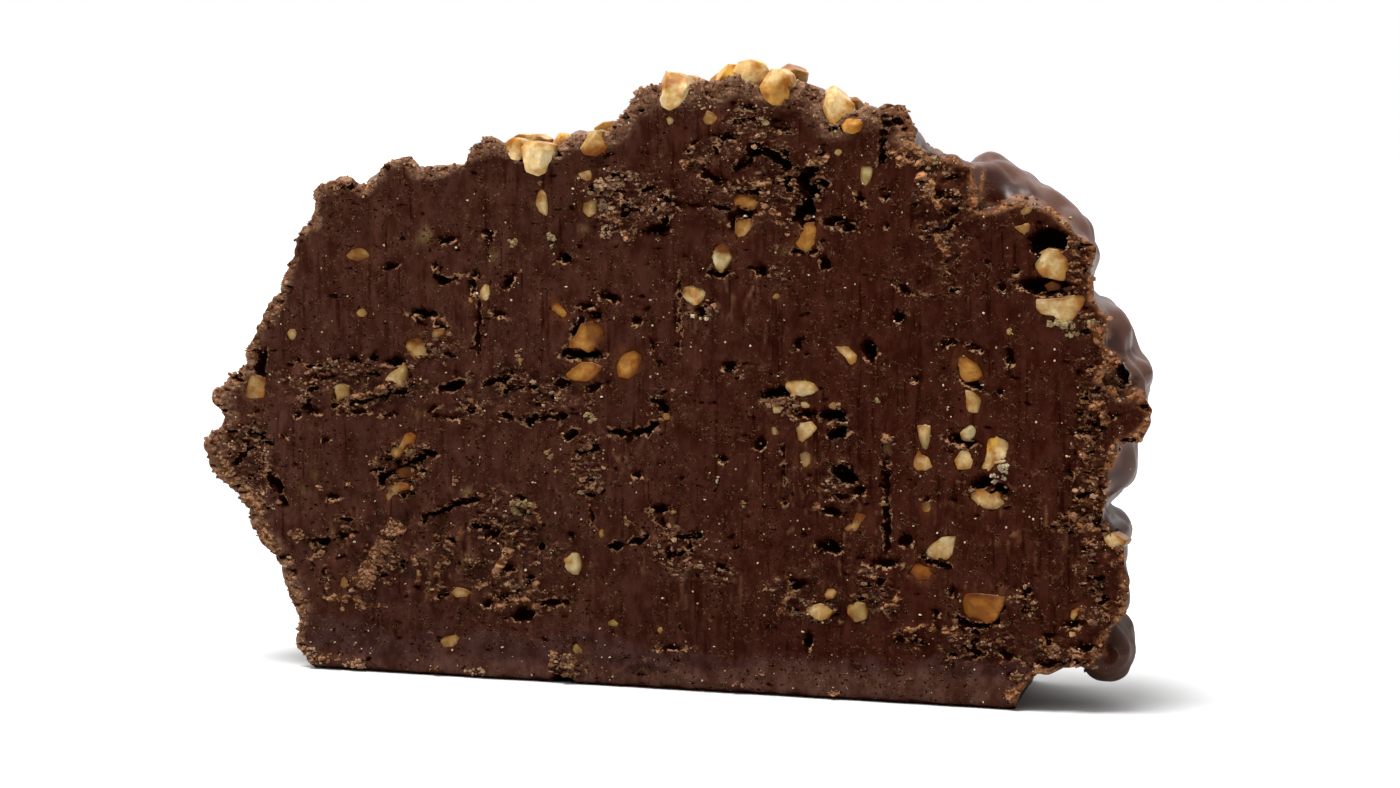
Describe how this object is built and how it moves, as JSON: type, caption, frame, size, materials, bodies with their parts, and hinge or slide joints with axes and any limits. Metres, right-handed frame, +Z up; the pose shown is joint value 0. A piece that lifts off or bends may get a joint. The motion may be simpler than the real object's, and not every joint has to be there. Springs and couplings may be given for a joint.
{
  "type": "chocolate fudge slice",
  "caption": "Thick upright slice of chocolate fudge with chopped peanuts: two knife-cut faces, lumpy poured top and ends, flat base.",
  "frame": {"origin": "centre of the bounding box in plan, at the flat base the slice stands on", "axes": "+X along the slice, +Y through its thickness away from the front cut, +Z up"},
  "size_m": [0.129, 0.0264, 0.0794],
  "materials": {
    "fudge": "dark chocolate fudge, satin where the knife smeared it and dull where it crumbled",
    "nuts": "roasted chopped peanut, cream to golden, slightly waxy"
  },
  "bodies": {
    "root": {"fudge": "fudge"}
  },
  "joints": []
}
